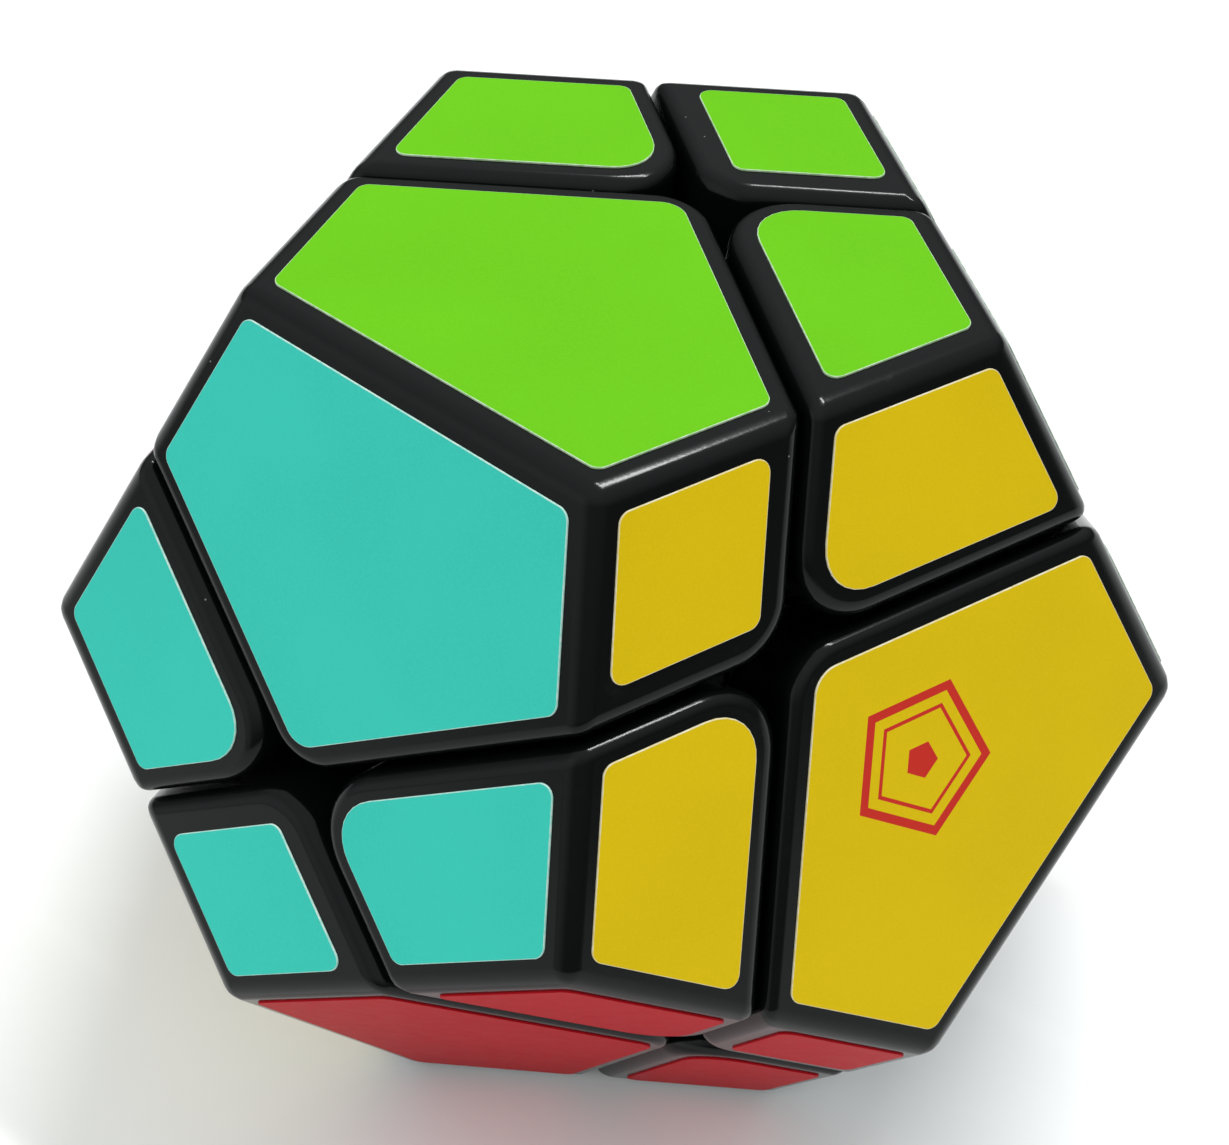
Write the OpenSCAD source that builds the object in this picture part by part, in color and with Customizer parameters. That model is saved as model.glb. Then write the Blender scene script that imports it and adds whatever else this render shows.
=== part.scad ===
// Twelve-sided corner-turning puzzle.
// Four cut planes through the middle divide a dodecahedron into six two-faced centres, four
// corners that turn on sprung screws and four loose corners. The centres stand on a ball and
// are held down by the discs of the screwed corners. The loose corners are held by their feet,
// which reach under the centres. All pieces are worked out in the cube's own axes, where the
// corners lie on the diagonals and the centres on X, Y and Z, and are then set on one face.

/* [Outer body] */
// Distance between opposite plastic faces
body_flats = 70; // [58:1:84]
// Gap between neighbouring pieces
piece_gap = 0.5; // [0.3:0.05:0.6]
// Radius of the round along every outer edge of a piece
edge_round = 1.1; // [0.4:0.1:1.4]
// Radius of a shell's edge where two gaps cross
cross_round = 4.6; // [2:0.2:4.6]

/* [Shells] */
// Wall thickness of the outer shells
shell_wall = 1.6; // [1.2:0.1:2.2]
// Height of the plug that holds a shell on its base
plug_h = 1.5; // [0.8:0.1:2.5]
// Clearance between a plug and its shell
plug_clear = 0.1; // [0.05:0.05:0.2]

/* [Stickers] */
// Thickness of the sticker film
film_t = 0.2; // [0.1:0.05:0.3]
// Bare plastic between a sticker and an edge of the dodecahedron
edge_margin = 1.7; // [1:0.1:3]
// Distance from a sticker to the middle of a gap
gap_margin = 2.05; // [1.5:0.05:3]
// Distance from a kite's sticker to the middle of a gap
kite_margin = 2.65; // [1.5:0.05:3.4]
// Radius of a sticker's outer corners
film_corner = 0.6; // [0.2:0.1:1]
// Sticker radius beside the crossing on a centre's large face
film_cross_large = 1.4; // [0.6:0.1:3]
// Sticker radius beside the crossing on a centre's small face
film_cross_small = 1; // [0.4:0.1:2]
// Sticker radius beside the crossing on a corner
film_cross_corner = 2.6; // [0.6:0.1:3.4]

/* [Core] */
// Radius of the ball in the middle
ball_r = 12.2; // [11:0.1:14.6]
// Radius of the four arms
arm_r = 2.5; // [2.2:0.1:2.6]
// Clearance between surfaces that turn past each other
run_clear = 0.3; // [0.2:0.05:0.4]

/* [Tongues and grooves] */
// Thickness of a loose corner's foot
foot_t = 3.4; // [2.4:0.1:4.2]
// Reach of a foot past the cut plane
foot_reach = 1.4; // [1:0.1:1.5]
// Thickness of a centre's shelf between foot and disc
shelf_t = 2.4; // [1.8:0.1:3]
// Thickness of a screwed corner's disc
disc_t = 3; // [2.4:0.1:3.6]
// Radius of a screwed corner's disc
disc_r = 9; // [8:0.1:10]
// Travel of a screwed corner against its spring
corner_travel = 0.6; // [0:0.1:1]
// Thickness of a base between its grooves and its shell
plate_t = 2; // [1.5:0.1:2.6]

/* [Screws and springs] */
// Radius over the screw's thread
screw_r = 1.5; // [1.3:0.1:1.6]
// Depth of the thread's bite into an arm
thread_bite = 0.25; // [0.15:0.05:0.3]
// Length of the screw inside an arm
screw_grip = 9; // [6:0.5:12]
// Radius of the screw's head
head_r = 2.9; // [2.5:0.1:3.1]
// Height of the screw's head
head_h = 1.8; // [1.4:0.1:2.4]
// Thickness of the washer under the head
washer_t = 0.6; // [0.4:0.1:1]
// Length of the fitted spring
spring_l = 6.2; // [5:0.1:8]
// Outer radius of the spring
spring_r = 3; // [2.6:0.1:3.2]
// Radius of the spring's wire
wire_r = 0.3; // [0.25:0.05:0.4]
// Turns of the spring
spring_turns = 6; // [4:1:8]

/* [Hidden] */
$fn = 72;
golden = (1 + sqrt(5)) / 2;
// Inradius of a dodecahedron around the cube of half edge 1
flat_ratio = pow(golden, 2) / sqrt(1 + pow(golden, 2));
cube_half = body_flats / 2 / flat_ratio;
half_gap = piece_gap / 2;
far = body_flats;

// Radii of the mechanism, from the ball outwards
inner_r = ball_r + run_clear;
foot_top = inner_r + foot_t;
foot_roof = foot_top + run_clear;
shelf_top = foot_roof + shelf_t;
disc_bottom = shelf_top + run_clear;
disc_top = disc_bottom + disc_t;
disc_roof = disc_top + corner_travel + run_clear;
seam_r = disc_roof + plate_t;
plug_top = seam_r + plug_h;

// Axes of the screwed corners. Two of them meet at the angle whose cosine is -1/3.
axis_cos = -1 / 3;
axis_sin = sqrt(1 - pow(axis_cos, 2));
screw_axes = [[-1, 1, 1], [1, -1, 1], [1, 1, -1], [-1, -1, -1]] / sqrt(3);

// The disc's reach past the neighbouring cut plane sets the width of the groove that it runs in
disc_reach = axis_cos * sqrt(pow(disc_bottom, 2) - pow(disc_r, 2)) + axis_sin * disc_r;
disc_groove_w = disc_reach + run_clear;
foot_groove_w = foot_reach + run_clear;

// Places along a screw's axis
floor_t = 2.5;
hub_r = arm_r + 1.6;
hub_drop = 1.3;
hub_bottom = disc_bottom - hub_drop;
arm_end = hub_bottom - run_clear;
floor_top = hub_bottom + floor_t;
washer_bottom = floor_top + spring_l;
head_bottom = washer_bottom + washer_t;
head_top = head_bottom + head_h;
screw_hole_r = screw_r + 0.25;
pilot_r = screw_r - thread_bite;
washer_r = head_r + 0.3;
pocket_r = max(spring_r, washer_r) + 0.3;
tube_r = pocket_r + 1.3;
tube_top = head_top + 0.5;
tip_l = screw_r;
recess_w = 0.7;
recess_depth = head_h * 0.6;

// Planes that bound each kind of piece, as outward normals
screwed_cuts = [screw_axes[1], screw_axes[2], screw_axes[3]];
loose_cuts = [-screw_axes[0], -screw_axes[1], -screw_axes[2]];
centre_cuts = [-screw_axes[0], -screw_axes[1], screw_axes[2], screw_axes[3]];
screwed_faces = [[-1, 0, golden], [-golden, 1, 0], [0, golden, 1]];
loose_faces = [[1, 0, golden], [golden, 1, 0], [0, golden, 1]];
centre_faces = [[1, 0, golden], [-1, 0, golden], [0, golden, 1], [0, -golden, 1]];

// Turns that carry the first piece of a kind to the others. The centres turn first about the
// diagonal [1, 1, 1] and then about an axis of the cube.
corner_turns = [[0, 0, 0], [0, 0, 180], [0, 180, 0], [180, 0, 0]];
centre_turns = [
    [0, [0, 0, 0]], [120, [0, 0, 0]], [240, [0, 0, 0]],
    [0, [180, 0, 0]], [120, [0, 180, 0]], [240, [0, 0, 180]],
];

// The twelve faces: outward normal and colour of the film
green = [[-1, 0, golden], "LimeGreen"];
turquoise = [[1, 0, golden], "Turquoise"];
yellow = [[0, golden, 1], "Gold"];
red = [[golden, 1, 0], "Crimson"];
white = [[1, 0, -golden], "White"];
orange = [[-1, 0, -golden], "DarkOrange"];
purple = [[0, -golden, -1], "Indigo"];
blue = [[-golden, -1, 0], "RoyalBlue"];
pine = [[-golden, 1, 0], "DarkGreen"];
pink = [[0, -golden, 1], "HotPink"];
cream = [[golden, -1, 0], "Bisque"];
grey = [[0, golden, -1], "Silver"];
plastic = [0.1, 0.1, 0.11];
inner_plastic = [0.16, 0.16, 0.17];
steel = [0.75, 0.75, 0.78];

// The half above the first screw's cut plane turns on that screw. These list the places of
// pieces in each half, by their number in the turns above.
upper_loose = [0, 1, 2];
lower_loose = [3];
upper_centres = [0, 2, 4];
lower_centres = [1, 3, 5];

function unit(v) = v / norm(v);

// ---- Half spaces and pieces -------------------------------------------------------------

// All points no further than d along the normal n
module below(n, d) {
    u = unit(n);
    rotate([0, acos(u.z), atan2(u.y, u.x)])
        translate([-far, -far, d - 2 * far])
            cube(2 * far);
}

// Stands its children, drawn along +Z, on the direction v
module along(v) {
    u = unit(v);
    rotate([0, acos(u.z), atan2(u.y, u.x)]) children();
}

module wedge(cuts, inset) {
    intersection_for(m = cuts) below(m, -inset);
}

// The plain outer shape of a piece, with every plane moved in by inset
module block(cuts, face_list, inset) {
    intersection() {
        wedge(cuts, half_gap + inset);
        intersection_for(n = face_list) below(n, body_flats / 2 - inset);
    }
}

// The cuts that cross on a face are square to the line from the middle to their crossing
function crossing(n) = [sign(n.x), sign(n.y), sign(n.z)];
function cuts_on(n, cuts) = [for (m = cuts) if (abs(m * crossing(n)) < 0.01) m];
function neighbours(n, face_list) =
    [for (k = face_list) if (abs(unit(n) * unit(k) - 1 / sqrt(5)) < 0.01) k];

// The flat that touches the round between two planes, which lie at distances d and e
module edge_plane(n, d, m, e) {
    sum = unit(n) + unit(m);
    below(sum, (d + e - 2 * edge_round) / norm(sum) + edge_round);
}

// One flat of the round between two cuts, a share of the way from the first to the second,
// moved in by inset
module round_plane(m1, m2, share, inset) {
    sum = (1 - share) * m1 + share * m2;
    below(sum, -(half_gap + cross_round) / norm(sum) + cross_round - inset);
}

// The rounds of a piece where its cuts cross, moved in by inset
module crossing_rounds(cuts, face_list, inset) {
    intersection_for(n = face_list)
        intersection_for(share = [0.2, 0.5, 0.8])
            round_plane(cuts_on(n, cuts)[0], cuts_on(n, cuts)[1], share, inset);
}

module rounded_block(cuts, face_list) {
    intersection() {
        block(cuts, face_list, 0);
        crossing_rounds(cuts, face_list, 0);
        intersection_for(n = face_list) {
            intersection() {
                intersection_for(m = cuts_on(n, cuts))
                    edge_plane(n, body_flats / 2, m, -half_gap);
                intersection_for(k = neighbours(n, face_list))
                    edge_plane(n, body_flats / 2, k, body_flats / 2);
            }
        }
    }
}

module shell(cuts, face_list) {
    difference() {
        rounded_block(cuts, face_list);
        sphere(seam_r);
        intersection() {
            block(cuts, face_list, shell_wall);
            crossing_rounds(cuts, face_list, shell_wall);
        }
    }
}

// ---- Bases ------------------------------------------------------------------------------

// The space between two spheres
module layer(low, high) {
    difference() {
        sphere(high);
        sphere(low);
    }
}

// A base's own wedge from the radius low up to the seam, with the plug that enters the shell
module base_body(cuts, face_list, low) {
    intersection() {
        wedge(cuts, half_gap);
        layer(low, seam_r);
    }
    intersection() {
        wedge(cuts, half_gap + shell_wall + plug_clear);
        crossing_rounds(cuts, face_list, shell_wall + plug_clear);
        layer(low, plug_top);
    }
}

// Groove for the discs of the screwed corners, on the side of axis that this piece is on
module disc_groove(axis) {
    intersection() {
        layer(shelf_top, disc_roof);
        below(axis, disc_groove_w);
    }
}

// Groove for the feet of the loose corners that come from beyond the cut plane of axis
module foot_groove(axis) {
    intersection() {
        sphere(foot_roof);
        below(-axis, foot_groove_w);
    }
}

module centre_base() {
    color(inner_plastic)
        difference() {
            base_body(centre_cuts, centre_faces, inner_r);
            for (i = [0, 1]) disc_groove(screw_axes[i]);
            for (i = [2, 3]) foot_groove(screw_axes[i]);
            centre_pocket();
        }
}

// Hollow of a centre's base, open towards its shell
module centre_pocket() {
    intersection() {
        wedge(centre_cuts, disc_groove_w + shell_wall);
        layer(foot_top, plug_top + 1);
    }
}

module loose_base() {
    color(inner_plastic) {
        difference() {
            base_body(loose_cuts, loose_faces, inner_r);
            for (i = [0, 1, 2]) disc_groove(screw_axes[i]);
        }
        intersection() {
            wedge(loose_cuts, -foot_reach);
            layer(inner_r, foot_top);
        }
    }
}

module screwed_base() {
    color(inner_plastic)
        difference() {
            union() {
                base_body(screwed_cuts, screwed_faces, disc_bottom);
                intersection() {
                    along(screw_axes[0]) cylinder(h = seam_r, r = disc_r);
                    layer(disc_bottom, disc_top);
                }
                along(screw_axes[0]) {
                    translate([0, 0, hub_bottom])
                        cylinder(h = hub_drop + 1, r = hub_r);
                    translate([0, 0, disc_top])
                        cylinder(h = tube_top - disc_top, r = tube_r);
                }
            }
            along(screw_axes[0]) {
                translate([0, 0, hub_bottom - 1])
                    cylinder(h = floor_t + 2, r = screw_hole_r);
                translate([0, 0, floor_top])
                    cylinder(h = tube_top - floor_top + 1, r = pocket_r);
            }
        }
}

// ---- Core, screws, washers and springs ---------------------------------------------------

module core() {
    color(plastic)
        difference() {
            union() {
                sphere(ball_r);
                for (axis = screw_axes)
                    along(axis) cylinder(h = arm_end, r = arm_r);
            }
            for (axis = screw_axes)
                along(axis)
                    translate([0, 0, arm_end - screw_grip - 1])
                        cylinder(h = screw_grip + 2, r = pilot_r);
        }
}

module screw() {
    color(steel)
        difference() {
            union() {
                translate([0, 0, head_bottom])
                    cylinder(h = head_h * 0.5, r = head_r);
                translate([0, 0, head_bottom + head_h * 0.5])
                    cylinder(h = head_h * 0.5, r1 = head_r, r2 = head_r * 0.7);
                translate([0, 0, arm_end - screw_grip + tip_l])
                    cylinder(h = head_bottom - arm_end + screw_grip - tip_l, r = screw_r);
                translate([0, 0, arm_end - screw_grip])
                    cylinder(h = tip_l, r1 = 0.3, r2 = screw_r);
            }
            for (turn = [0, 90])
                rotate([0, 0, turn])
                    translate([-head_r * 0.55, -recess_w / 2, head_top - recess_depth])
                        cube([head_r * 1.1, recess_w, recess_depth + 1]);
        }
}

module washer() {
    color(steel)
        translate([0, 0, washer_bottom])
            difference() {
                cylinder(h = washer_t, r = washer_r);
                translate([0, 0, -1]) cylinder(h = washer_t + 2, r = screw_hole_r);
            }
}

// The wire's rings, at a turn's fraction of a step, rising between the closed end turns
wire_sides = 6;
wire_steps = 12;
coil_r = spring_r - wire_r;
function coil_ring(i, rings) =
    let (
        turn = 360 * i / wire_steps,
        rise = wire_r + 0.02 + (spring_l - 2 * wire_r - 0.04) * coil_share(i / rings)
    )
    [for (k = [0 : wire_sides - 1])
        let (a = 360 * k / wire_sides, out = coil_r + wire_r * cos(a))
        [out * cos(turn), out * sin(turn), rise + wire_r * sin(a)]];

// Share of the height reached: the first and last turns climb by one wire's thickness
end_share = 1 / spring_turns;
end_climb = 2.1 * wire_r / (spring_l - 2 * wire_r);
function coil_share(t) =
    t < end_share ? end_climb * t / end_share :
    t > 1 - end_share ? 1 - end_climb * (1 - t) / end_share :
    end_climb + (1 - 2 * end_climb) * (t - end_share) / (1 - 2 * end_share);

module spring() {
    rings = spring_turns * wire_steps;
    points = [for (i = [0 : rings]) each coil_ring(i, rings)];
    sides = [for (i = [0 : rings - 1], k = [0 : wire_sides - 1])
        let (a = i * wire_sides, b = a + wire_sides, next = (k + 1) % wire_sides)
        [a + k, a + next, b + next, b + k]];
    ends = [
        [for (k = [wire_sides - 1 : -1 : 0]) k],
        [for (k = [0 : wire_sides - 1]) rings * wire_sides + k],
    ];
    color(steel)
        translate([0, 0, floor_top])
            polyhedron(points, concat(sides, ends), convexity = 8);
}

// ---- Stickers ---------------------------------------------------------------------------

// Where two lines meet, each a point and a direction
function meet(l, m) = l[0] + l[1] * cross(m[0] - l[0], m[1]) / cross(l[1], m[1]);

// The outline with each side moved in by its own margin
function inset_outline(points, margins) =
    let (
        n = len(points),
        middle = [for (i = [0 : n - 1]) 1] * points / n,
        lines = [for (i = [0 : n - 1])
            let (
                a = points[i],
                along = unit(points[(i + 1) % n] - a),
                across = [-along.y, along.x],
                inward = across * sign((middle - a) * across)
            )
            [a + inward * margins[i], along]]
    )
    [for (i = [0 : n - 1]) meet(lines[(i + n - 1) % n], lines[i])];

// The outline with each corner drawn as an arc of its own radius
arc_steps = 6;
function round_outline(points, radii) =
    let (n = len(points))
    [for (i = [0 : n - 1])
        let (
            p = points[i],
            to_last = unit(points[(i + n - 1) % n] - p),
            to_next = unit(points[(i + 1) % n] - p),
            half = acos(to_last * to_next) / 2,
            centre = p + unit(to_last + to_next) * radii[i] / sin(half),
            start = p + to_last * radii[i] / tan(half) - centre,
            end = p + to_next * radii[i] / tan(half) - centre,
            from = atan2(start.y, start.x),
            sweep = (180 - 2 * half) * sign(cross(start, end))
        )
        for (k = [0 : arc_steps])
            let (a = from + sweep * k / arc_steps)
            centre + radii[i] * [cos(a), sin(a)]];

function at_part(n, size) = [for (c = n) abs(abs(c) - size) < 0.01 ? sign(c) : 0];

// The four facets of the face with normal n, in the cube's axes: large, small and two corners.
// Each is [the direction of its piece, its outline, its margins, its corner radii].
function facets(n) =
    let (
        large = at_part(n, golden),
        small = at_part(n, 1),
        side = cross(large, small),
        q = large + small,
        sides = [side, -side],
        tips = [for (s = sides) q + s],
        roofs = [for (s = sides) golden * large + s / golden],
        peak = golden * small + large / golden,
        roof_mids = [for (i = [0, 1]) (roofs[i] + tips[i]) / 2],
        peak_mids = [for (i = [0, 1]) (peak + tips[i]) / 2]
    )
    [
        [large, [roofs[0], roof_mids[0], q, roof_mids[1], roofs[1]],
            [edge_margin, gap_margin, gap_margin, edge_margin, edge_margin],
            [film_corner, film_corner, film_cross_large, film_corner, film_corner]],
        [small, [peak, peak_mids[0], q, peak_mids[1]],
            [edge_margin, kite_margin, kite_margin, edge_margin],
            [film_corner, film_corner, film_cross_small, film_corner]],
        for (i = [0, 1])
            [tips[i], [tips[i], roof_mids[i], q, peak_mids[i]],
                [edge_margin, gap_margin, gap_margin, edge_margin],
                [film_corner, film_corner, film_cross_corner, film_corner]],
    ];

module film(n, facet) {
    up = unit(n);
    u = unit(cross(at_part(n, golden), at_part(n, 1)));
    v = cross(up, u);
    flat = [for (p = facet[1]) cube_half * [p * u, p * v]];
    multmatrix([
        [u.x, v.x, up.x, up.x * body_flats / 2],
        [u.y, v.y, up.y, up.y * body_flats / 2],
        [u.z, v.z, up.z, up.z * body_flats / 2],
        [0, 0, 0, 1],
    ])
        linear_extrude(film_t)
            polygon(round_outline(inset_outline(flat, facet[2]), facet[3]));
}

// The films of one face on the half above the first cut plane (side 1) or below it (side -1).
// The screwed corners' films are left out, because those corners slide on their own screws.
module half_films(face, side)
    color(face[1])
        for (facet = facets(face[0]))
            if (!is_screwed(facet[0]) && side * (facet[0] * screw_axes[0]) > 0)
                film(face[0], facet);

// The film of one face on one screwed corner
module corner_film(face, i)
    color(face[1])
        for (facet = facets(face[0]))
            if (norm(unit(facet[0]) - screw_axes[i]) < 0.01)
                film(face[0], facet);

function is_screwed(v) = len([for (axis = screw_axes) if (norm(unit(v) - axis) < 0.01) 1]) > 0;

// ---- Placing ----------------------------------------------------------------------------

// Sets the puzzle on its white face, with the green face level on top
tilt_long = golden / sqrt(1 + pow(golden, 2));
tilt_short = 1 / sqrt(1 + pow(golden, 2));
module stand()
    multmatrix([
        [0, 1, 0, 0],
        [-tilt_long, 0, -tilt_short, 0],
        [-tilt_short, 0, tilt_long, body_flats / 2 + film_t],
        [0, 0, 0, 1],
    ])
        children();

module corner_place(i) stand() rotate(corner_turns[i]) children();

module centre_place(i)
    stand() rotate(centre_turns[i][1]) rotate(centre_turns[i][0], [1, 1, 1]) children();

module fastened(i) stand() along(screw_axes[i]) children();

module tension_screws() for (i = [0 : 3]) fastened(i) screw();
module washers() for (i = [0 : 3]) fastened(i) washer();
module loose_bases(places) for (i = places) corner_place(i) loose_base();
module centre_bases(places) for (i = places) centre_place(i) centre_base();

module screwed_shell(i)
    color(plastic) corner_place(i) shell(screwed_cuts, screwed_faces);

module loose_shell(i)
    color(plastic) corner_place(i) shell(loose_cuts, loose_faces);

module centre_shell(i)
    color(plastic) centre_place(i) shell(centre_cuts, centre_faces);

stand() core();
tension_screws();
washers();
fastened(0) spring();  // spring_top_right
fastened(1) spring();  // spring_front_left
fastened(2) spring();  // spring_low_right
fastened(3) spring();  // spring_back_left
corner_place(0) screwed_base();  // screwed_base_top_right
corner_place(1) screwed_base();  // screwed_base_front_left
corner_place(2) screwed_base();  // screwed_base_low_right
corner_place(3) screwed_base();  // screwed_base_back_left
screwed_shell(0);  // screwed_shell_top_right
screwed_shell(1);  // screwed_shell_front_left
screwed_shell(2);  // screwed_shell_low_right
screwed_shell(3);  // screwed_shell_back_left
loose_bases(upper_loose);  // loose_bases_upper
loose_bases(lower_loose);  // loose_base_lower
loose_shell(0);  // loose_shell_front_right
loose_shell(1);  // loose_shell_top_left
loose_shell(2);  // loose_shell_back_right
loose_shell(3);  // loose_shell_low_left
centre_bases(upper_centres);  // centre_bases_upper
centre_bases(lower_centres);  // centre_bases_lower
centre_shell(0);  // centre_shell_top_front
centre_shell(1);  // centre_shell_low_front
centre_shell(2);  // centre_shell_right
centre_shell(3);  // centre_shell_low_back
centre_shell(4);  // centre_shell_top_back
centre_shell(5);  // centre_shell_left
stand() half_films(green, 1);  // green_upper
stand() half_films(turquoise, 1);  // turquoise_upper
stand() half_films(yellow, 1);  // yellow_upper
stand() half_films(red, 1);  // red_upper
stand() half_films(orange, 1);  // orange_upper
stand() half_films(blue, 1);  // blue_upper
stand() half_films(pine, 1);  // pine_upper
stand() half_films(pink, 1);  // pink_upper
stand() half_films(grey, 1);  // grey_upper
stand() half_films(turquoise, -1);  // turquoise_lower
stand() half_films(red, -1);  // red_lower
stand() half_films(white, -1);  // white_lower
stand() half_films(orange, -1);  // orange_lower
stand() half_films(purple, -1);  // purple_lower
stand() half_films(blue, -1);  // blue_lower
stand() half_films(pink, -1);  // pink_lower
stand() half_films(cream, -1);  // cream_lower
stand() half_films(grey, -1);  // grey_lower
stand() corner_film(green, 0);  // green_top_right
stand() corner_film(yellow, 0);  // yellow_top_right
stand() corner_film(pine, 0);  // pine_top_right
stand() corner_film(turquoise, 1);  // turquoise_front_left
stand() corner_film(pink, 1);  // pink_front_left
stand() corner_film(cream, 1);  // cream_front_left
stand() corner_film(white, 2);  // white_low_right
stand() corner_film(red, 2);  // red_low_right
stand() corner_film(grey, 2);  // grey_low_right
stand() corner_film(orange, 3);  // orange_back_left
stand() corner_film(purple, 3);  // purple_back_left
stand() corner_film(blue, 3);  // blue_back_left
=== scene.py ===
"""Finished looks of the twelve-sided corner-turning puzzle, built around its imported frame."""

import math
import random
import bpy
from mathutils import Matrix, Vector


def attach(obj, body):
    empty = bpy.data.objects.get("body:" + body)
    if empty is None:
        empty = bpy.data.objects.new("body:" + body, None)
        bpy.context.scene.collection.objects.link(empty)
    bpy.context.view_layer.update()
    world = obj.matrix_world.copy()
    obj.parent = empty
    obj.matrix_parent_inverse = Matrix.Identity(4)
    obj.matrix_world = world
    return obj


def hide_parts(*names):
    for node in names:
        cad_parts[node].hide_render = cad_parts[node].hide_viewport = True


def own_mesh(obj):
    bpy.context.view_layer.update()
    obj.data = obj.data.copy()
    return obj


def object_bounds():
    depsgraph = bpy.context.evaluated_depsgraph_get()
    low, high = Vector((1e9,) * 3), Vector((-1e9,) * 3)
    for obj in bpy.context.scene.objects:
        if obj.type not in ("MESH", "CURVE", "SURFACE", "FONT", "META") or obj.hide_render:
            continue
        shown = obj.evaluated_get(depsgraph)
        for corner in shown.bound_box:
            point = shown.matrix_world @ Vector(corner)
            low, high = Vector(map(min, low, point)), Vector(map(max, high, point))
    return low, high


bl_info = {
    "name": "Twelve-sided Corner-turning Puzzle",
    "version": (1, 0, 0),
    "blender": (4, 5, 0),
    "location": "View3D > Sidebar > Puzzle",
    "description": "Rounded shells, cut films, sprung screws and a studio for the puzzle",
    "category": "Object",
}

import bmesh
import bpy
from bpy.props import FloatProperty, FloatVectorProperty, IntProperty, PointerProperty
from mathutils import Matrix, Vector

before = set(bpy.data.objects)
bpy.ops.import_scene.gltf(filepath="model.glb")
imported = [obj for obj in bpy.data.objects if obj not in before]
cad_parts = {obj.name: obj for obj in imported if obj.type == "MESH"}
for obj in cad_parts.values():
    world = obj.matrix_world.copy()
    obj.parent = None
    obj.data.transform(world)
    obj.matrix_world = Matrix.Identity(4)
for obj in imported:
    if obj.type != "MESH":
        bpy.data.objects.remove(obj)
CAD_LOW, CAD_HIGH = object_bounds()

MM = 0.001
GOLDEN = (1 + math.sqrt(5)) / 2
MIDDLE = Vector((0, 0, (CAD_LOW.z + CAD_HIGH.z) / 2))
FILM = 0.2 * MM
FLATS = CAD_HIGH.z - CAD_LOW.z - 2 * FILM
# Half the edge of the cube that the dodecahedron is built around, from its inradius
CUBE_HALF = FLATS / 2 / (GOLDEN**2 / math.sqrt(1 + GOLDEN**2))
# Half the size of the cube that every block is cut from, well beyond the puzzle
FAR = 80 * MM

X, Y, Z = Vector((1, 0, 0)), Vector((0, 1, 0)), Vector((0, 0, 1))
# Two of the cube's own directions that differ by less than this are the same
SAME = 0.01
# A face whose normal has at least this much of a direction looks that way
ALONG, FLAT = 0.9999, 0.99
# A cut's axis with more than this much of a piece's direction runs through the piece
THROUGH = 0.9
# The angles between cuts that meet on a corner and on a centre
CORNER_ANGLE, CENTRE_ANGLE = math.acos(1 / 3), math.acos(-1 / 3)

# The puzzle is worked out in its cube's own axes. STAND sets it on its white face.
LONG = GOLDEN / math.sqrt(1 + GOLDEN**2)
SHORT = 1 / math.sqrt(1 + GOLDEN**2)
STAND = Matrix.Translation(MIDDLE) @ Matrix(
    ((0, 1, 0, 0), (-LONG, 0, -SHORT, 0), (-SHORT, 0, LONG, 0), (0, 0, 0, 1))
)

SCREWED = {
    "top_right": Vector((-1, 1, 1)),
    "front_left": Vector((1, -1, 1)),
    "low_right": Vector((1, 1, -1)),
    "back_left": Vector((-1, -1, -1)),
}
LOOSE = {
    "front_right": Vector((1, 1, 1)),
    "top_left": Vector((-1, -1, 1)),
    "back_right": Vector((-1, 1, -1)),
    "low_left": Vector((1, -1, -1)),
}
CENTRES = {
    "top_front": Z,
    "low_front": X,
    "right": Y,
    "low_back": -Z,
    "top_back": -X,
    "left": -Y,
}
SCREW_AXES = [axis.normalized() for axis in SCREWED.values()]
TURNING_AXIS = SCREW_AXES[0]

# Each face: the axis of the centre that owns its large facet, and of the one with the kite
FACES = {
    "green": (Z, -X),
    "turquoise": (Z, X),
    "yellow": (Y, Z),
    "red": (X, Y),
    "white": (-Z, X),
    "orange": (-Z, -X),
    "purple": (-Y, -Z),
    "blue": (-X, -Y),
    "pine": (-X, Y),
    "pink": (-Y, Z),
    "cream": (X, -Y),
    "grey": (Y, -Z),
}

# The studio, in metres: where each light hangs, and how wide and deep it is
TUBE_SPOT, TUBE_SIZE = Vector((-0.02, 0.34, 0.95)), (0.5, 0.035)
FILL_SPOT, FILL_SIZE = Vector((0.3, -0.6, 0.9)), (0.9, 0.9)
# The way to the brightest point of the glow, and how much of that way its rim still has
GLOW_SIDE, GLOW_EDGE = Vector((-0.457, -0.888, 0.02)), 0.6


# ---- Settings ---------------------------------------------------------------------------


def length(name, description, default_mm, low=0.01, high=100):
    return FloatProperty(
        name=name,
        description=description,
        default=default_mm * MM,
        min=low * MM,
        max=high * MM,
        precision=5,
        unit="LENGTH",
    )


def colour(name, description, default):
    return FloatVectorProperty(
        name=name,
        description=description,
        default=default,
        size=3,
        min=0,
        max=1,
        subtype="COLOR",
    )


class ShellSizes(bpy.types.PropertyGroup):
    gap: length("Gap", "Gap between neighbouring pieces", 0.5)
    crossing_round: length("Crossing round", "Radius of a shell's edge at a crossing", 4.6)
    lip: length("Lip", "Width of the round along every outer edge", 1.15)
    wall: length("Wall", "Thickness of a shell's wall", 1.6)
    seam: length("Seam", "Distance from the middle at which shells meet bases", 24.8)
    waist: length("Waist", "Height at which a block is cut before its middle is taken out", 15)
    crossing_steps: IntProperty(
        name="Crossing steps", description="Steps in a crossing's round", default=12, min=2
    )
    lip_steps: IntProperty(
        name="Lip steps", description="Steps in a lip's round", default=5, min=1
    )
    seam_steps: IntProperty(
        name="Seam steps", description="Steps round the seam's sphere", default=96, min=12
    )


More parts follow.
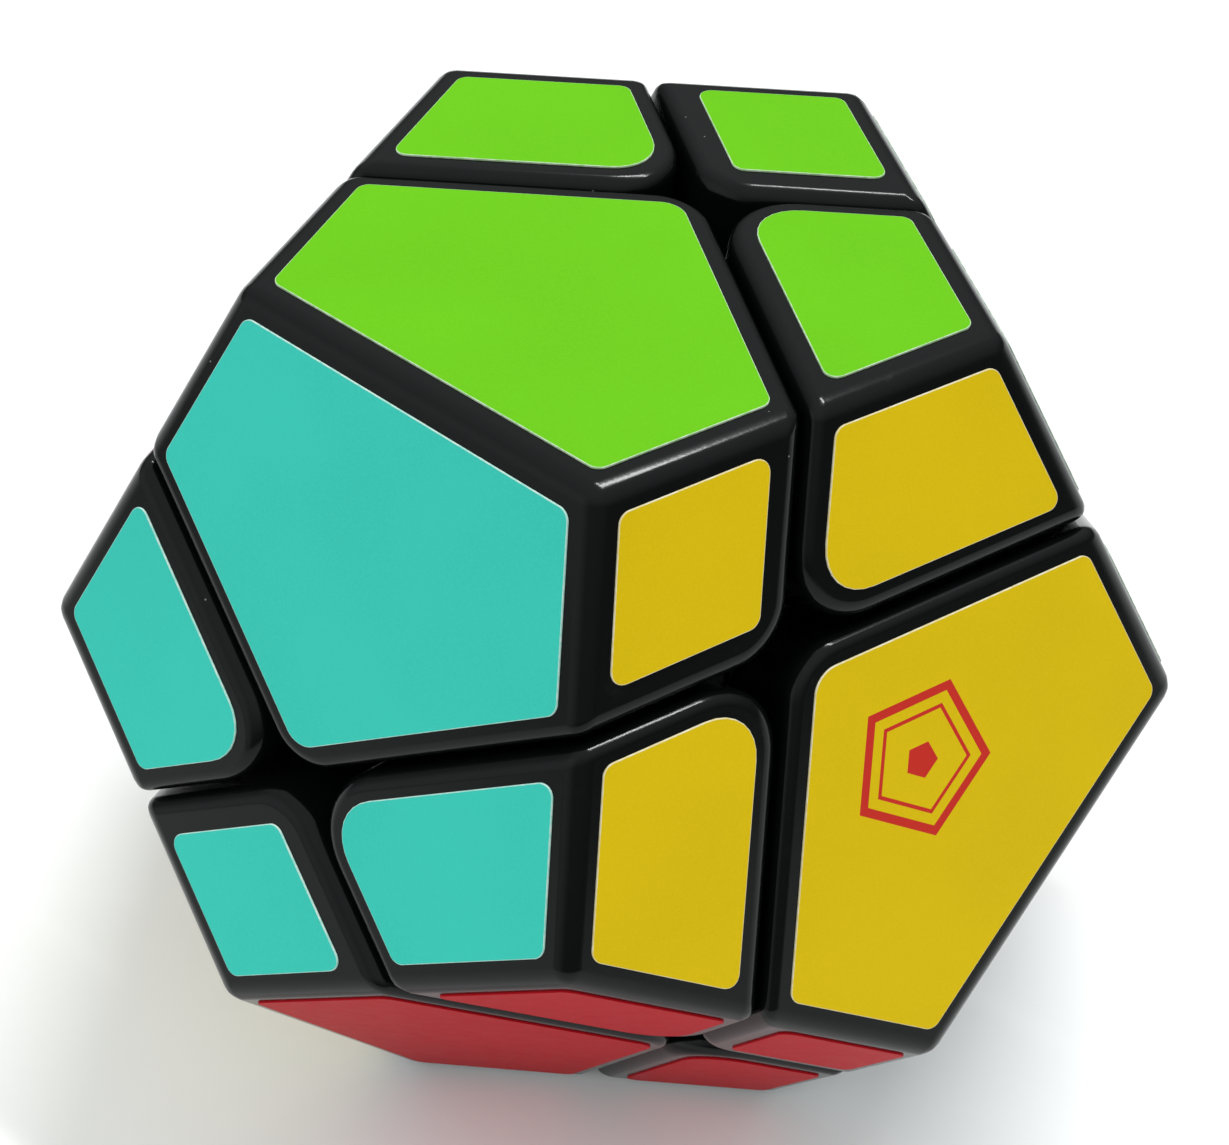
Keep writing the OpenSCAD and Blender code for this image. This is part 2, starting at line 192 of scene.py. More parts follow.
class FilmSizes(bpy.types.PropertyGroup):
    edge_margin: length("Edge margin", "From a film to an edge of the dodecahedron", 1.7)
    gap_margin: length("Gap margin", "From a film to the middle of a gap", 2.05)
    kite_margin: length("Kite margin", "From a kite's film to the middle of a gap", 2.65)
    corner: length("Corner", "Radius of a film's outer corners", 0.95)
    cross_large: length("Large crossing", "Radius at the crossing on a large film", 2.0)
    cross_kite: length("Kite crossing", "Radius at the crossing on a kite", 1.0)
    cross_corner: length("Corner crossing", "Radius at the crossing on a corner's film", 3.1)
    thickness: length("Thickness", "Thickness of a film", 0.14)
    cut_edge: length("Cut edge", "Width of the pressed edge that the blade leaves", 0.06)
    corner_steps: IntProperty(
        name="Corner steps", description="Steps in a film's corner", default=8, min=1
    )
    cut_steps: IntProperty(
        name="Cut steps", description="Steps in a film's pressed edge", default=2, min=1
    )
    stray: length("Stray", "How far a film may sit from its true place", 0.1)
    stray_turn: FloatProperty(
        name="Stray turn",
        description="How far a film may be turned from its true place",
        default=math.radians(0.35),
        min=0,
        max=math.radians(2),
        unit="ROTATION",
    )


class SpringSizes(bpy.types.PropertyGroup):
    coil: length("Coil", "Radius to the middle of the wire", 2.7)
    wire: length("Wire", "Radius of the wire", 0.3)
    low: length("Low end", "Distance of a spring's low end from the middle", 20.1)
    height: length("Height", "Length of the fitted spring", 6.2)
    turns: IntProperty(name="Turns", description="Turns of the wire", default=6, min=2)
    turn_steps: IntProperty(
        name="Turn steps", description="Steps in one turn of the wire", default=28, min=8
    )
    wire_sides: IntProperty(
        name="Wire sides", description="Sides of the wire's section", default=12, min=6
    )


class MarkSizes(bpy.types.PropertyGroup):
    rise: length("Rise", "From the middle of the face to the middle of the mark", 5.6)
    outer: length("Outer ring", "Inradius of the outer ring", 4.4)
    outer_half: length("Outer half width", "Half the width of the outer ring", 0.32)
    inner: length("Inner ring", "Inradius of the inner ring", 3.2)
    inner_half: length("Inner half width", "Half the width of the inner ring", 0.14)
    dot: length("Dot", "Inradius of the dot", 1.1)


class Colours(bpy.types.PropertyGroup):
    shell: colour("Shell", "Black plastic of the shells", (0.0028, 0.0034, 0.0034))
    inner: colour("Inner", "Black plastic of core and bases", (0.018, 0.018, 0.020))
    dust: colour("Dust", "Specks of dust", (0.42, 0.41, 0.39))
    steel: colour("Steel", "Zinc-plated steel", (0.62, 0.62, 0.64))
    sky: colour("Sky", "Light of the studio's walls and ceiling", (0.94, 0.99, 1.0))
    # Partly painted highlight: this pale cut edge is put only on films that look up towards the
    # light
    cut_edge: colour("Cut edge", "Pale cut edge of a film", (0.78, 0.80, 0.74))
    ink: colour("Ink", "Printed mark on the large yellow film", (0.55, 0.03, 0.02))
    green: colour("Green", "Film", (0.125, 0.465, 0.008))
    turquoise: colour("Turquoise", "Film", (0.047, 0.575, 0.468))
    yellow: colour("Yellow", "Film", (0.690, 0.485, 0.005))
    red: colour("Red", "Film", (0.440, 0.004, 0.011))
    white: colour("White", "Film", (0.800, 0.800, 0.780))
    orange: colour("Orange", "Film", (0.850, 0.200, 0.010))
    purple: colour("Purple", "Film", (0.150, 0.040, 0.330))
    blue: colour("Blue", "Film", (0.015, 0.110, 0.520))
    pine: colour("Pine", "Film", (0.008, 0.180, 0.050))
    pink: colour("Pink", "Film", (0.820, 0.170, 0.380))
    cream: colour("Cream", "Film", (0.800, 0.680, 0.430))
    grey: colour("Grey", "Film", (0.330, 0.340, 0.350))


class StudioSizes(bpy.types.PropertyGroup):
    camera_distance: length("Camera distance", "From the camera to the middle", 172.3, high=900)
    camera_azimuth: FloatProperty(
        name="Camera azimuth",
        description="Turn of the camera's place from the front towards +X",
        default=math.radians(39.73),
        unit="ROTATION",
    )
    camera_elevation: FloatProperty(
        name="Camera elevation",
        description="Height of the camera's place above the horizon",
        default=math.radians(44.34),
        unit="ROTATION",
    )
    aim_azimuth: FloatProperty(
        name="Aim azimuth",
        description="Turn of the line that the camera looks back along",
        default=math.radians(39.96),
        unit="ROTATION",
    )
    aim_elevation: FloatProperty(
        name="Aim elevation",
        description="Height of the line that the camera looks back along",
        default=math.radians(43.57),
        unit="ROTATION",
    )
    camera_roll: FloatProperty(
        name="Camera roll",
        description="Tilt of the camera about its own line of sight",
        default=math.radians(1.29),
        unit="ROTATION",
    )
    lens: FloatProperty(
        name="Lens",
        description="Focal length in millimetres on a 36 mm sensor",
        default=62.84,
        min=10,
    )
    floor: colour("Floor", "Pale floor", (0.92, 0.92, 0.915))
    floor_size: length("Floor size", "Side of the floor", 12000, high=50000)
    # Painted shade on the floor: its colour darkens between these two distances from the middle
    painted_shade_start: length("Fade start", "Where the floor starts to darken", 300, high=5000)
    painted_shade_end: length("Fade end", "Where the floor is at its darkest", 1900, high=9000)
    tube_power: FloatProperty(
        name="Tube power", description="Watts of the ceiling tube", default=5.6, min=0
    )
    fill_power: FloatProperty(
        name="Fill power", description="Watts of the soft front light", default=1.6, min=0
    )
    horizon: FloatProperty(
        name="Horizon", description="Strength of the sky at the horizon", default=0.14, min=0
    )
    glow: FloatProperty(
        name="Glow", description="Strength of the glow from the front left", default=0.7, min=0
    )


def settings():
    return bpy.context.scene.corner_puzzle


# ---- Places -----------------------------------------------------------------------------


def cuts_around(direction):
    """Outward normals of the cut planes that bound the piece in that direction."""
    unit = direction.normalized()
    sides = [(axis, axis.dot(unit)) for axis in SCREW_AXES]
    return [-math.copysign(1, side) * axis for axis, side in sides if abs(side) < THROUGH]


def normal_of(large, small):
    return (GOLDEN * large + small).normalized()


def faces_around(direction, count):
    """Outward normals of the faces that the piece in that direction shows a facet on."""
    normals = [normal_of(*axes) for axes in FACES.values()]
    return sorted(normals, key=lambda n: -n.dot(direction))[:count]


def owner_of(direction):
    """The body that carries the piece in that direction, and the end of its films' node."""
    for place, axis in SCREWED.items():
        if (direction - axis).length < SAME:
            return "corner_" + place, place
    half = "upper" if direction.dot(TURNING_AXIS) > 0 else "lower"
    return half + "_half", half


def half_turn_to(start, goal):
    """The half turn about one of the cube's axes that carries one corner to another."""
    if (start - goal).length < SAME:
        return Matrix.Identity(4)
    for axis in (X, Y, Z):
        turn = Matrix.Rotation(math.pi, 4, axis)
        if (turn @ start - goal).length < SAME:
            return turn
    raise ValueError(f"no half turn carries {start} to {goal}")


def turn_to_centre(goal):
    """The turn that carries the centre on Z to another: about [1, 1, 1], then a half turn."""
    for step in range(3):
        about = Matrix.Rotation(step * math.radians(120), 4, Vector((1, 1, 1)))
        start = about @ Z
        if abs(start.dot(goal)) > FLAT:
            if start.dot(goal) > 0:
                return about
            across = X if abs(start.x) < 0.5 else Y
            return Matrix.Rotation(math.pi, 4, across) @ about
    raise ValueError(f"no turn carries the first centre to {goal}")


# ---- Modelling --------------------------------------------------------------------------


def only(obj):
    """Deselects everything else and makes obj the active object."""
    bpy.ops.object.select_all(action="DESELECT")
    obj.select_set(True)
    bpy.context.view_layer.objects.active = obj


def slice_off(planes):
    """In edit mode, cuts away all that lies beyond each plane, and closes the cuts."""
    for normal, distance in planes:
        bpy.ops.mesh.select_all(action="SELECT")
        bpy.ops.mesh.bisect(
            plane_co=normal * distance,
            plane_no=normal,
            use_fill=True,
            clear_outer=True,
            threshold=1e-7,
        )


def pick_edges(obj, wanted):
    """In edit mode, selects the edges that wanted is true of."""
    bpy.ops.mesh.select_mode(type="EDGE")
    bpy.ops.mesh.select_all(action="DESELECT")
    mesh = bmesh.from_edit_mesh(obj.data)
    for edge in mesh.edges:
        if wanted(edge):
            edge.select_set(True)
    bmesh.update_edit_mesh(obj.data)


def round_picked(offset, steps):
    bpy.ops.mesh.bevel(
        offset_type="OFFSET",
        offset=offset,
        segments=steps,
        profile=0.5,
        affect="EDGES",
        clamp_overlap=False,
    )


def start_block(name, planes):
    """A convex block: a cube with all that lies beyond the planes cut away. In edit mode."""
    bpy.ops.object.select_all(action="DESELECT")
    bpy.ops.mesh.primitive_cube_add(size=2 * FAR)
    obj = bpy.context.object
    obj.name = name
    bpy.ops.object.mode_set(mode="EDIT")
    slice_off(planes)
    return obj


def faces_of(edge):
    return [face.normal for face in edge.link_faces]


def is_along(normal, others):
    return any(normal.dot(other) > ALONG for other in others)


def apply_modifier(obj, kind, **values):
    only(obj)
    modifier = obj.modifiers.new(kind.title(), kind)
    for key, value in values.items():
        setattr(modifier, key, value)
    bpy.ops.object.modifier_apply(modifier=modifier.name)


def subtract(obj, cutter):
    apply_modifier(obj, "BOOLEAN", operation="DIFFERENCE", solver="EXACT", object=cutter)
    bpy.data.objects.remove(cutter)
    if not obj.data.polygons:
        raise RuntimeError(f"nothing is left of {obj.name}: a round is too wide for its waist")


def smooth(obj, angle=40):
    """Smooth shading up to that angle in degrees. Flats stay flat, true corners sharp."""
    only(obj)
    bpy.ops.object.shade_smooth_by_angle(angle=math.radians(angle))
    apply_modifier(obj, "WEIGHTED_NORMAL", keep_sharp=True, weight=80)


def copy_to(master, name, place):
    """A copy of the master with its own mesh, and with its place in that mesh."""
    only(master)
    bpy.ops.object.duplicate()
    obj = bpy.context.object
    obj.name = obj.data.name = name
    obj.matrix_world = place @ obj.matrix_world
    bpy.ops.object.transform_apply(location=True, rotation=True, scale=True)
    return obj


def round_crossings(obj, cuts, between, radius):
    """Rounds the edges that cuts meet in, which all point at the puzzle's middle."""
    pick_edges(obj, lambda edge: all(is_along(n, cuts) for n in faces_of(edge)))
    round_picked(radius / math.tan(between / 2), settings().shell.crossing_steps)


def shell_master(direction, face_count):
    """A hollow shell: rounded outside, open to its base over the seam's sphere."""
    sizes = settings().shell
    cuts = cuts_around(direction)
    faces = faces_around(direction, face_count)
    unit = direction.normalized()
    waist = [(-unit, -sizes.waist)]
    planes = [(cut, -sizes.gap / 2) for cut in cuts] + [(face, FLATS / 2) for face in faces]
    shell = start_block("shell_master", planes + waist)

    between_cuts = CORNER_ANGLE if len(cuts) == 3 else CENTRE_ANGLE
    round_crossings(shell, cuts, between_cuts, sizes.crossing_round)
    pick_edges(shell, lambda edge: any(is_along(n, faces) for n in faces_of(edge)))
    round_picked(sizes.lip, sizes.lip_steps)
    bpy.ops.object.mode_set(mode="OBJECT")

    inset = sizes.wall
    inner = [(cut, -sizes.gap / 2 - inset) for cut in cuts]
    inner += [(face, FLATS / 2 - inset) for face in faces]
    hollow = start_block("hollow", inner + waist)
    round_crossings(hollow, cuts, between_cuts, sizes.crossing_round - inset)
    bpy.ops.object.mode_set(mode="OBJECT")
    subtract(shell, hollow)
    bpy.ops.object.select_all(action="DESELECT")
    bpy.ops.mesh.primitive_uv_sphere_add(
        radius=sizes.seam, segments=sizes.seam_steps, ring_count=sizes.seam_steps // 2
    )
    subtract(shell, bpy.context.object)
    return shell


def meet(a, b):
    """Where two lines of the plane meet. Each is a point and a direction."""
    (p, along), (q, other) = a, b
    return p + along * ((q - p).cross(other) / along.cross(other))


def facet_outlines():
    """The four facets of a face: large, kite and the two corners'.

    Each is the direction of its piece in the terms (large, small, side), its outline in the
    face's own plane, the margins of its sides and the radii of its corners.
    """
    sizes = settings().film
    large, small = FACES["turquoise"]
    side = large.cross(small)
    up = normal_of(large, small)
    across = up.cross(side)

    def flat(point):
        return Vector((point.dot(side), point.dot(across))) * CUBE_HALF

    crossing = large + small
    tips = [crossing + side, crossing - side]
    roofs = [GOLDEN * large + side / GOLDEN, GOLDEN * large - side / GOLDEN]
    peak = GOLDEN * small + large / GOLDEN
    roof_mids = [(roofs[i] + tips[i]) / 2 for i in (0, 1)]
    peak_mids = [(peak + tips[i]) / 2 for i in (0, 1)]
    edge, gap, kite = sizes.edge_margin, sizes.gap_margin, sizes.kite_margin
    tip = sizes.corner
    outlines = [
        (
            (1, 0, 0),
            [roofs[0], roof_mids[0], crossing, roof_mids[1], roofs[1]],
            [edge, gap, gap, edge, edge],
            [tip, tip, sizes.cross_large, tip, tip],
        ),
        (
            (0, 1, 0),
            [peak, peak_mids[0], crossing, peak_mids[1]],
            [edge, kite, kite, edge],
            [tip, tip, sizes.cross_kite, tip],
        ),
    ]
    for i, hand in ((0, 1), (1, -1)):
        outlines.append(
            (
                (1, 1, hand),
                [tips[i], roof_mids[i], crossing, peak_mids[i]],
                [edge, gap, gap, edge],
                [tip, tip, sizes.cross_corner, tip],
            )
        )
    return [
        (terms, [flat(point) for point in points], margins, radii)
        for terms, points, margins, radii in outlines
    ]


def film_master(points, margins, radii):
    """One film, cut from a slab: straight sides, round corners and a pressed upper edge."""
    sizes = settings().film
    middle = sum(points, Vector((0, 0))) / len(points)
    planes, lines = [(Z, sizes.thickness), (-Z, 0)], []
    for i, point in enumerate(points):
        along = (points[(i + 1) % len(points)] - point).normalized()
        out = Vector((along.y, -along.x))
        if out.dot(point - middle) < 0:
            out = -out
        distance = out.dot(point) - margins[i]
        planes.append((out.to_3d(), distance))
        lines.append((out * distance + along * along.dot(point), along))
    film = start_block("film_master", planes)

    for i, radius in enumerate(radii):
        corner = meet(lines[i - 1], lines[i])
        half = (math.pi - lines[i - 1][1].angle(lines[i][1])) / 2

        def stands_at_corner(edge):
            ends = [vert.co.to_2d() for vert in edge.verts]
            return all((end - corner).length < 0.01 * MM for end in ends)

        pick_edges(film, stands_at_corner)
        round_picked(radius / math.tan(half), sizes.corner_steps)

    def rims_top(edge):
        rises = [normal.z > FLAT for normal in faces_of(edge)]
        return any(rises) and not all(rises)

    pick_edges(film, rims_top)
    round_picked(sizes.cut_edge, sizes.cut_steps)
    bpy.ops.object.mode_set(mode="OBJECT")
    return film


def face_place(large, small):
    """The place of a face's own plane: side along X, towards its roof edge along Y."""
    up = normal_of(large, small)
    side = large.cross(small)
    across = up.cross(side)
    turn = Matrix((side, across, up)).transposed().to_4x4()
    return Matrix.Translation(up * FLATS / 2) @ turn


def join(pieces, name):
    bpy.ops.object.select_all(action="DESELECT")
    for piece in pieces:
        piece.select_set(True)
    bpy.context.view_layer.objects.active = pieces[0]
    if len(pieces) > 1:
        bpy.ops.object.join()
    obj = bpy.context.object
    obj.name = obj.data.name = name
    return obj


# ---- Shader maths -----------------------------------------------------------------------


class Term:
    """A shader value that takes part in Python expressions, each of which adds a node."""

    def __init__(self, bench, socket):
        self.bench = bench
        self.socket = socket

    def maths(self, operation, *others):
        values = {0: self, **{i + 1: other for i, other in enumerate(others)}}
        return self.bench.add("ShaderNodeMath", {"operation": operation}, values)

    def __add__(self, other):
        return self.maths("ADD", other)

    def __radd__(self, other):
        return self.maths("ADD", other)

    def __mul__(self, other):
        return self.maths("MULTIPLY", other)

    def __rmul__(self, other):
        return self.maths("MULTIPLY", other)

    def __sub__(self, other):
        return self.maths("SUBTRACT", other)

    def __rsub__(self, other):
        return (self * -1) + other

    def __abs__(self):
        return self.maths("ABSOLUTE")

    def under(self, limit):
        return self.maths("LESS_THAN", limit)

    def most(self, other):
        return self.maths("MAXIMUM", other)

    def eased(self, low, high, start=0.0, end=1.0):
        """start at low, end at high and smooth between."""
        ease = {"interpolation_type": "SMOOTHSTEP"}
        ranges = {0: self, 1: low, 2: high, 3: start, 4: end}
        return self.bench.add("ShaderNodeMapRange", ease, ranges)


class Wiring:
    """A node tree, and the means to wire it."""

    def __init__(self, tree):
        self.tree = tree

    def put(self, socket, value):
        if isinstance(value, Term):
            self.tree.links.new(value.socket, socket)
        elif socket.type == "RGBA":
            socket.default_value = (*value[:3], 1)
        else:
            socket.default_value = value

    def add(self, kind, modes=None, values=None, output=0):
        """Adds a node: its modes are set first, then the values or links of its sockets."""
        node = self.tree.nodes.new(kind)
        for key, value in (modes or {}).items():
            setattr(node, key, value)
        for key, value in (values or {}).items():
            self.put(node.inputs[key], value)
        return Term(self, node.outputs[output])

    def vector_maths(self, operation, *vectors, output=0):
        modes = {"operation": operation}
        values = dict(enumerate(vectors))
        return self.add("ShaderNodeVectorMath", modes, values, output)

    def dot(self, vector, direction):
        return self.vector_maths("DOT_PRODUCT", vector, direction, output=1)


class Bench(Wiring):
    """A material with one Principled shader, which its wiring ends in."""

    def __init__(self, name):
        self.material = bpy.data.materials.new(name)
        self.material.use_nodes = True
        super().__init__(self.material.node_tree)
        self.tree.nodes.clear()
        self.shader = self.tree.nodes.new("ShaderNodeBsdfPrincipled")
        output = self.tree.nodes.new("ShaderNodeOutputMaterial")
        self.tree.links.new(self.shader.outputs[0], output.inputs[0])
        self.place = self.add("ShaderNodeTexCoord", output="Object")

    def shade(self, values):
        """Sets or links the shader's sockets by their names."""
        for key, value in values.items():
            self.put(self.shader.inputs[key], value)

    def noise(self, grain, detail=2.0, roughness=0.5):
        """Noise between 0 and 1 whose features are about grain metres wide."""
        values = {
            "Vector": self.place,
            "Scale": 1 / grain,
            "Detail": detail,
            "Roughness": roughness,
        }
        return self.add("ShaderNodeTexNoise", values=values)

    def specks(self, spacing, share, size):
        """1 on scattered specks: one in each cell of that spacing, in a share of the cells."""
        cells = {"Vector": self.place, "Scale": 1 / spacing}
        distance = self.add("ShaderNodeTexVoronoi", values=cells)
        cell = self.add("ShaderNodeTexVoronoi", values=cells, output="Color")
        chosen = self.add("ShaderNodeSeparateColor", values={0: cell}).under(share)
        return distance.under(size / spacing) * chosen

    def blend(self, factor, first, second):
        """The colour first where factor is 0 and second where it is 1."""
        # A Mix node has its colours on sockets 6 and 7, and their mix on output 2
        values = {0: factor, 6: first, 7: second}
        return self.add("ShaderNodeMix", {"data_type": "RGBA"}, values, output=2)

    def relief(self, height, depth, strength=1.0, under=None):
        """A bump of that depth in metres, on top of the one under it."""
        values = {"Height": height, "Distance": depth, "Strength": strength}
        if under:
            values["Normal"] = under
        return self.add("ShaderNodeBump", values=values)


def tinted(base, share):
    """A colour with that share of the base's brightness."""
    return tuple(min(1.0, value * share) for value in base)


def shell_plastic():
    """Satin black injection moulding: faint waviness, hairlines, rubbed spots and dust."""
    colours = settings().colours
    bench = Bench("Shell plastic")
    cloud = bench.noise(9 * MM, 3)
    rub = bench.noise(2.2 * MM, 4, 0.65)
    grain = bench.noise(0.22 * MM, 2)
    scuffs = rub.eased(0.6, 0.78)
    dust = bench.specks(2.4 * MM, 0.22, 0.07 * MM).most(bench.specks(1.1 * MM, 0.05, 0.05 * MM))
    worn = bench.blend(scuffs * 0.3, colours.shell, tinted(colours.shell, 2.4))
    shaded = bench.blend(cloud * 0.5, worn, tinted(colours.shell, 0.75))
    bench.shade(
        {
            "Base Color": bench.blend(dust * 0.55, shaded, colours.dust),
            "Roughness": cloud * 0.05 + 0.125 + scuffs * 0.1 + dust * 0.3,
            "Specular IOR Level": 0.18,
            "Normal": bench.relief(
                rub, 0.006 * MM, under=bench.relief(grain, 0.0025 * MM, 0.8)
            ),
        }
    )
    return bench.material


def inner_plastic():
    """Matte black moulding of the core and bases, dulled where grease has settled."""
    colours = settings().colours
    bench = Bench("Inner plastic")
    cloud = bench.noise(5 * MM, 3)
    grain = bench.noise(0.3 * MM, 3, 0.6)
    bench.shade(
        {
            "Base Color": bench.blend(cloud, colours.inner, tinted(colours.inner, 0.6)),
            "Roughness": cloud * 0.2 + 0.4,
            "Normal": bench.relief(grain, 0.008 * MM),
        }
    )
    return bench.material


def zinc_steel():
    """Zinc plating: bright metal with fine turning marks and a dull bloom."""
    colours = settings().colours
    bench = Bench("Zinc steel")
    bloom = bench.noise(1.2 * MM, 4)
    marks = bench.noise(0.12 * MM, 2)
    bench.shade(
        {
            "Base Color": bench.blend(bloom * 0.5, colours.steel, tinted(colours.steel, 0.7)),
            "Metallic": 1.0,
            "Roughness": bloom * 0.2 + 0.22,
            "Normal": bench.relief(marks, 0.003 * MM),
        }
    )
    return bench.material


def pentagon_ring(bench, large, small):
    """1 on a plain printed mark in the middle of a large film: two rings and a dot."""
    sizes = settings().mark
    up = normal_of(large, small)
    side = large.cross(small)
    across = up.cross(side)
    outward = STAND.to_3x3()
    centre = STAND @ (up * FLATS / 2 + across * sizes.rise)
    local = bench.vector_maths("SUBTRACT", bench.place, centre)
    x = bench.dot(local, outward @ side)
    y = bench.dot(local, outward @ across)
    reach = None
    for i in range(5):
        turn = math.radians(90 + 72 * i)
        part = x * math.cos(turn) + y * math.sin(turn)
        reach = part if reach is None else reach.most(part)
    outer = abs(reach - sizes.outer).under(sizes.outer_half)
    inner = abs(reach - sizes.inner).under(sizes.inner_half)
    return outer.most(inner).most(reach.under(sizes.dot))


def film_vinyl(name, base, mark=None):
    """Printed vinyl film: fine grain, slow tone changes, fine dents and a few dark specks."""
    bench = Bench(name.capitalize() + " film")
    cloud = bench.noise(14 * MM, 2)
    grain = bench.noise(0.16 * MM, 2, 0.6)
    dents = bench.noise(1.4 * MM, 3, 0.6)
    toned = bench.blend(cloud.eased(0.3, 0.7) * 0.5, base, tinted(base, 0.9))
    grained = bench.blend(grain.eased(0.35, 0.75) * 0.35, toned, tinted(base, 1.12))
    if mark:
        ink = pentagon_ring(bench, *mark)
        grained = bench.blend(ink, grained, settings().colours.ink)
    dirt = bench.specks(6 * MM, 0.3, 0.08 * MM)
    bench.shade(
        {
            "Base Color": bench.blend(dirt * 0.7, grained, tinted(base, 0.15)),
            "Roughness": dents * 0.12 + 0.36 + grain * 0.06,
            "Specular IOR Level": 0.05,
            "Normal": bench.relief(dents, 0.012 * MM, 0.7, bench.relief(grain, 0.004 * MM)),
        }
    )
    return bench.material


def film_cut_edge_highlight(name, base):
    """The pale core of a film, stained by its print, which shows where the blade cut it. It
    goes only on films that look up towards the light, so it is partly a painted highlight.
    """
    colours = settings().colours
    bench = Bench(name.capitalize() + " cut edge")
    nicks = bench.noise(0.5 * MM, 3)
    pairs = list(zip(colours.cut_edge, base))
    light, stained = ([pale + (ink - pale) * k for pale, ink in pairs] for k in (0.3, 0.6))
    bench.shade(
        {
            "Base Color": bench.blend(nicks.eased(0.35, 0.65), light, stained),
            "Roughness": nicks * 0.2 + 0.4,
            "Specular IOR Level": 0.1,
        }
    )
    return bench.material


def studio_floor():
    """Pale, faintly mottled floor, with painted shade that darkens it away from the puzzle."""
    sizes = settings().studio
    bench = Bench("Studio floor")
    tone = bench.noise(60 * MM, 2)
    base = sizes.floor
    painted_shade_far = bench.vector_maths("LENGTH", bench.place, output=1)
    painted_shade_far = painted_shade_far.eased(sizes.painted_shade_start, sizes.painted_shade_end)
    mottled = bench.blend(tone * 0.3, base, tinted(base, 0.97))
    bench.shade(
        {
            # Painted shade: the floor's colour falls to a fifth of its brightness away from the
            # puzzle
            "Base Color": bench.blend(painted_shade_far, mottled, tinted(base, 0.2)),
            "Roughness": tone * 0.1 + 0.6,
        }
    )
    return bench.material


def studio_sky():
    """A sky that is brightest overhead, with a glow from the front left."""
    sizes = settings().studio
    world = bpy.data.worlds.new("Studio")
    world.use_nodes = True
    wiring = Wiring(world.node_tree)
    direction = wiring.add("ShaderNodeTexCoord", output="Generated")
    height = wiring.add("ShaderNodeSeparateXYZ", values={0: direction}, output="Z")
    glow = wiring.dot(direction, GLOW_SIDE).eased(GLOW_EDGE, 1, 0, sizes.glow)
    sky = world.node_tree.nodes["Background"]
    wiring.put(sky.inputs["Color"], settings().colours.sky)
    wiring.put(sky.inputs["Strength"], height.eased(0, 1, sizes.horizon, 1) + glow)
    return world


def coat(obj, *materials):
    """Gives obj these materials and no others."""
    obj.data.materials.clear()
    for material in materials:
        obj.data.materials.append(material)


def show_cut_edge_highlight(film, up):
    """Gives the second material, the pale cut edge, to all that doesn't lie flat, on a film
    that looks up. Only films that face the light get it, so it is in part a painted highlight.
    """
    for face in film.data.polygons:
        face.material_index = 1 if up.z > 0 and abs(face.normal.dot(up)) < FLAT else 0


# ---- Operators --------------------------------------------------------------------------


class PUZZLE_OT_corner_shells(bpy.types.Operator):
    """Make the shells of the eight corners"""

    bl_idname = "puzzle.corner_shells"
    bl_label = "Corner Shells"

    def execute(self, context):
        plastic = shell_plastic()
        for kind, corners in (("screwed", SCREWED), ("loose", LOOSE)):
            first = next(iter(corners.values()))
            master = shell_master(first, 3)
            for place, direction in corners.items():
                turn = STAND @ half_turn_to(first, direction)
                node = f"{kind}_shell_{place}"
                shell = copy_to(master, "rounded_" + node, turn)
                smooth(shell)
                coat(shell, plastic)
                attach(shell, owner_of(direction)[0])
                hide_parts(node)
            bpy.data.objects.remove(master)
        return {"FINISHED"}


class PUZZLE_OT_centre_shells(bpy.types.Operator):
    """Make the shells of the six two-faced centres"""

    bl_idname = "puzzle.centre_shells"
    bl_label = "Centre Shells"

    def execute(self, context):
        plastic = bpy.data.materials["Shell plastic"]
        master = shell_master(Z, 4)
        for place, direction in CENTRES.items():
            node = "centre_shell_" + place
            shell = copy_to(master, "rounded_" + node, STAND @ turn_to_centre(direction))
            smooth(shell)
            coat(shell, plastic)
            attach(shell, owner_of(direction)[0])
            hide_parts(node)
        bpy.data.objects.remove(master)
        return {"FINISHED"}


class PUZZLE_OT_films(bpy.types.Operator):
    """Cut the forty-eight films and lay them on their facets"""

    bl_idname = "puzzle.films"
    bl_label = "Films"

    def execute(self, context):
        sizes = settings().film
        hand = random.Random(12)
        outlines = facet_outlines()
        masters = [film_master(*outline[1:]) for outline in outlines]
        middles = [
            sum(points, Vector((0, 0))).to_3d() / len(points) for _, points, _, _ in outlines
        ]
        for colour_name, (large, small) in FACES.items():
            mark = (large, small) if colour_name == "yellow" else None
            base = getattr(settings().colours, colour_name)
            vinyl, pale = film_vinyl(colour_name, base, mark), film_cut_edge_highlight(colour_name, base)
            terms = (large, small, large.cross(small))
            nodes = {}
            for outline, master, middle in zip(outlines, masters, middles):
                direction = sum((k * t for k, t in zip(outline[0], terms)), Vector((0, 0, 0)))
                stray = Matrix.Translation(
                    middle
                    + Vector((hand.uniform(-1, 1), hand.uniform(-1, 1), 0)) * sizes.stray
                )
                stray @= Matrix.Rotation(hand.uniform(-1, 1) * sizes.stray_turn, 4, "Z")
                stray @= Matrix.Translation(-middle)
                film = copy_to(master, "film", STAND @ face_place(large, small) @ stray)
                nodes.setdefault(owner_of(direction), []).append(film)
            for (body, ending), films in nodes.items():
                node = f"{colour_name}_{ending}"
                film = join(films, "film_" + node)
                smooth(film, 30)
                coat(film, vinyl, pale)
                # The pale cut edge, in part a painted highlight, goes only on films that look
                # up towards the light
                show_cut_edge_highlight(film, STAND.to_3x3() @ normal_of(large, small))
                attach(film, body)
                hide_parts(node)
        for master in masters:
            bpy.data.objects.remove(master)
        return {"FINISHED"}


